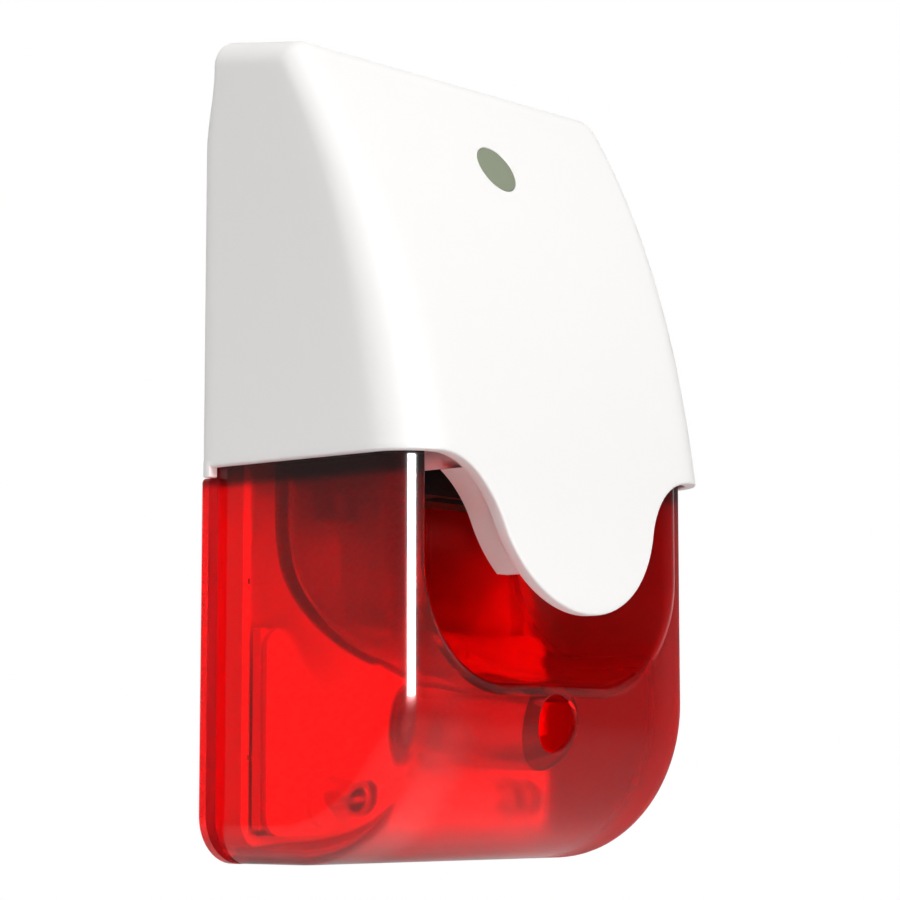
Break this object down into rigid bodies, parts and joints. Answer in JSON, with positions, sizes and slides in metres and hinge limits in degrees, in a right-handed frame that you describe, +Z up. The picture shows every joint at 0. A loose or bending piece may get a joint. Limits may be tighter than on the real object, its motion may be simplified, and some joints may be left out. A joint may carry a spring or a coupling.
{
  "type": "wall alarm siren with strobe",
  "caption": "Indoor wall siren with a white cover over a red strobe lens, a sound recess under the cover's tongue, and a hooked back plate.",
  "frame": {"origin": "centre of the back plate's wall face", "axes": "+X right as seen from the front, +Y into the wall, +Z up"},
  "size_m": [0.073, 0.0438, 0.1217],
  "materials": {
    "white_abs": "satin moulded ABS",
    "inner_abs": "plain moulded ABS",
    "red_lens": "clear red polycarbonate",
    "window_clear": "frosted clear polycarbonate",
    "black_plastic": "matt black",
    "grey_rubber": "matt",
    "brass_disc": "rolled",
    "steel_screw": "zinc plated",
    "board_green": "solder mask",
    "board_white": "white solder mask",
    "terminal_green": "moulded",
    "ferrite_grey": "sintered",
    "winding_tape": "polyester tape",
    "capacitor_sleeve": "shrink sleeve",
    "resistor_tan": "lacquer",
    "led_clear": "clear epoxy",
    "tube_glass": "clear glass",
    "reflector_white": "gloss",
    "coil_copper": "enamelled wire",
    "lead_red": "PVC sleeve"
  },
  "bodies": {
    "base": {"base_plate": "inner_abs", "cable_grommet": "grey_rubber"},
    "front_housing": {"cover": "white_abs", "power_window": "window_clear", "lens": "red_lens", "sound_duct": "inner_abs", "siren_driver": "black_plastic", "driver_cap": "black_plastic", "piezo_disc": "brass_disc", "driver_gasket": "grey_rubber", "driver_screws": "steel_screw", "driver_leads": "lead_red", "main_board": "board_green", "terminal_block": "terminal_green", "terminal_screws": "steel_screw", "power_led": "led_clear", "transformer_core": "ferrite_grey", "transformer_winding": "winding_tape", "smoothing_capacitor": "capacitor_sleeve", "control_chip": "black_plastic", "switching_transistor": "black_plastic", "board_resistors": "resistor_tan", "board_screws": "steel_screw", "tamper_switch": "black_plastic", "tamper_spring": "steel_screw", "strobe_board": "board_white", "strobe_reflector": "reflector_white", "flash_tube": "tube_glass", "tube_holders": "steel_screw", "trigger_coil": "coil_copper", "flash_capacitor": "capacitor_sleeve", "strobe_leads": "lead_red"},
    "tamper_plunger": {"tamper_plunger": "inner_abs"},
    "housing_screw": {"housing_screw": "steel_screw"}
  },
  "joints": [
    {"name": "housing_tilt", "type": "hinge", "parent": "base", "child": "front_housing", "pos_m": [0, -0.0036, 0.0569], "axis": [-1, 0, 0], "range_deg": [0, 30]},
    {"name": "tamper_slide", "type": "slide", "parent": "front_housing", "child": "tamper_plunger", "axis": [0, 1, 0], "range_m": [0, 0.0015], "stiffness_N_per_m": 100, "springref_m": 0.0015, "deforming": ["tamper_spring"]},
    {"name": "screw_turn", "type": "hinge", "parent": "front_housing", "child": "housing_screw", "pos_m": [0, -0.0086, -0.0408], "axis": [0, 1, 0], "continuous": true}
  ],
  "couplings": [
    {"joint": "tamper_slide", "follows": "housing_tilt", "m_per_rad": 0.00286}
  ]
}
